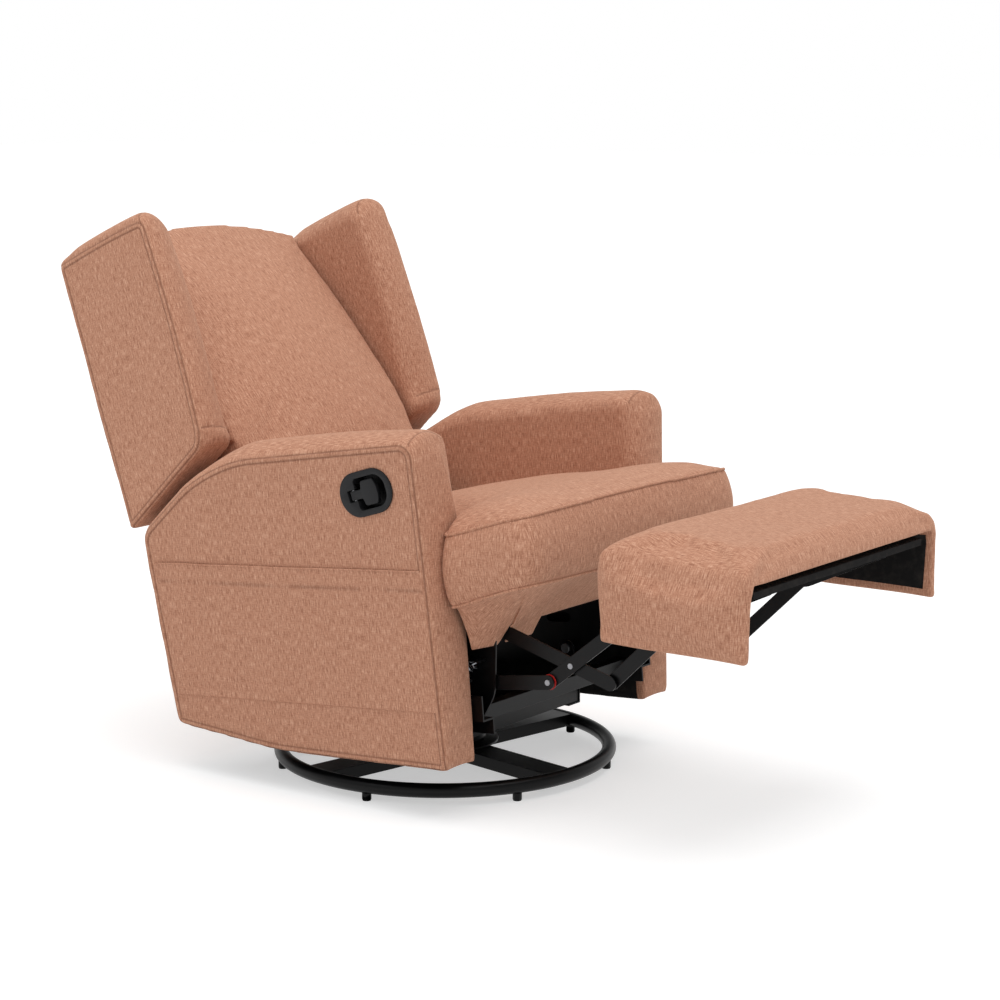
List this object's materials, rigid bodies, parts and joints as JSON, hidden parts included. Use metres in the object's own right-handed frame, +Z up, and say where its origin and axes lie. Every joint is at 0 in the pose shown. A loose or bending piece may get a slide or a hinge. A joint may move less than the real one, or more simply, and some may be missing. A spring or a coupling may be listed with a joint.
{
  "type": "swivel glider recliner",
  "caption": "Padded swivel glider recliner with a winged back, T-shaped seat cushion, fold-out footrest on a lever-released linkage, and a round tube base.",
  "frame": {"origin": "on the floor, below the centre of the whole chair's box with its footrest out and its back reclined", "axes": "+Z up; the chair faces -Y; +X is the sitter's left; the lever and pocket are on the -X arm"},
  "size_m": [0.7399, 1.4054, 0.9612],
  "materials": {
    "upholstery": "woven terracotta, linen look",
    "plywood": "raw plywood",
    "bright_steel": "zinc plated",
    "lever_plastic": "satin black",
    "cable_sheath": "satin black",
    "red_plastic": "gloss red",
    "black_steel": "gloss black"
  },
  "bodies": {
    "base": {"base_ring": "black_steel", "base_cross": "black_steel", "swivel_hub": "black_steel", "swivel_race_lower": "bright_steel"},
    "turntable": {"swivel_race_upper": "bright_steel", "turntable_plate": "black_steel", "glider_side_left": "black_steel", "glider_side_right": "black_steel", "glider_cross_front": "black_steel", "glider_cross_rear": "black_steel"},
    "glide_front": {"glide_link_front_left": "bright_steel", "glide_link_front_right": "bright_steel"},
    "glide_rear": {"glide_link_rear_left": "bright_steel", "glide_link_rear_right": "bright_steel"},
    "back": {"wing_left": "upholstery", "wing_right": "upholstery", "back_frame": "plywood", "back_springs": "bright_steel", "outside_back": "upholstery", "back_cushion": "upholstery", "back_bracket_left": "black_steel", "back_bracket_right": "black_steel"},
    "footrest": {"footrest_cover": "upholstery", "footrest_board": "plywood", "footrest_bracket_left": "black_steel", "footrest_bracket_right": "black_steel"},
    "link_a": {"ottoman_link_a_left": "black_steel", "ottoman_link_a_right": "black_steel", "washer_pivot_a_left": "red_plastic", "washer_pivot_a_right": "red_plastic"},
    "link_b": {"ottoman_link_b_left": "black_steel", "ottoman_link_b_right": "black_steel", "washer_link_ab_left": "red_plastic", "washer_link_ab_right": "red_plastic"},
    "link_c": {"ottoman_link_c_left": "black_steel", "ottoman_link_c_right": "black_steel"},
    "link_d": {"ottoman_link_d_left": "black_steel", "ottoman_link_d_right": "black_steel"},
    "release_lever": {"release_lever": "lever_plastic"},
    "chair": {"arm_frame_left": "plywood", "arm_frame_right": "plywood", "arm_left": "upholstery", "arm_pocket_right": "upholstery", "arm_right": "upholstery", "base_rail_left": "black_steel", "base_rail_right": "black_steel", "front_cross_channel": "black_steel", "lever_bezel": "lever_plastic", "lever_pin": "bright_steel", "mechanism_plate_left": "black_steel", "mechanism_plate_right": "black_steel", "rear_cross_tube": "black_steel", "rear_panel": "upholstery", "release_cable": "cable_sheath", "seat_apron": "upholstery", "seat_cushion": "upholstery", "seat_frame": "plywood", "seat_springs": "bright_steel", "tension_spring_left": "bright_steel", "tension_spring_right": "bright_steel"}
  },
  "joints": [
    {"name": "swivel_turn", "type": "hinge", "parent": "base", "child": "turntable", "pos_m": [0, 0.10282, 0], "axis": [0, 0, 1], "continuous": true},
    {"name": "glide_swing", "type": "hinge", "parent": "turntable", "child": "glide_front", "pos_m": [0, -0.01718, 0.18], "axis": [1, 0, 0], "range_deg": [-25, 25]},
    {"name": "glide_rear_swing", "type": "hinge", "parent": "turntable", "child": "glide_rear", "pos_m": [0, 0.22282, 0.18], "axis": [1, 0, 0], "range_deg": [-25.5, 25.5]},
    {"name": "glide_chair_pivot", "type": "hinge", "parent": "glide_front", "child": "chair", "pos_m": [0, -0.01718, 0.095], "axis": [1, 0, 0], "range_deg": [-25.5, 25.5]},
    {"name": "back_recline", "type": "hinge", "parent": "chair", "child": "back", "pos_m": [0, 0.32745, 0.39022], "axis": [1, 0, 0], "range_deg": [0, 17]},
    {"name": "footrest_fold", "type": "hinge", "parent": "chair", "child": "link_c", "pos_m": [0, -0.15484, 0.3096], "axis": [1, 0, 0], "range_deg": [0, 63.61]},
    {"name": "footrest_link_a_turn", "type": "hinge", "parent": "chair", "child": "link_a", "pos_m": [0, -0.15085, 0.21798], "axis": [1, 0, 0], "range_deg": [-0.5, 82.66]},
    {"name": "footrest_link_b_turn", "type": "hinge", "parent": "link_c", "child": "link_b", "pos_m": [0, -0.30939, 0.26643], "axis": [1, 0, 0], "range_deg": [-114.77, 0.5]},
    {"name": "footrest_link_d_turn", "type": "hinge", "parent": "link_c", "child": "link_d", "pos_m": [0, -0.38066, 0.24652], "axis": [1, 0, 0], "range_deg": [-112.09, 0.5]},
    {"name": "footrest_turn", "type": "hinge", "parent": "link_b", "child": "footrest", "pos_m": [0, -0.44111, 0.37167], "axis": [1, 0, 0], "range_deg": [-0.5, 132.95]},
    {"name": "lever_pull", "type": "hinge", "parent": "chair", "child": "release_lever", "pos_m": [-0.35991, 0.00853, 0.53398], "axis": [0.0684, -0.2955, -0.9529], "range_deg": [0, 28], "stiffness_Nm_per_rad": 0.6}
  ],
  "couplings": [
    {"joint": "glide_rear_swing", "follows": "glide_swing", "ratio": 1},
    {"joint": "glide_chair_pivot", "follows": "glide_swing", "ratio": -1},
    {"joint": "footrest_link_a_turn", "follows": "footrest_fold", "ratio": 1.2915},
    {"joint": "footrest_link_b_turn", "follows": "footrest_fold", "ratio": -1.7963},
    {"joint": "footrest_link_d_turn", "follows": "footrest_fold", "ratio": -1.7542},
    {"joint": "footrest_turn", "follows": "footrest_fold", "ratio": 2.0822}
  ]
}
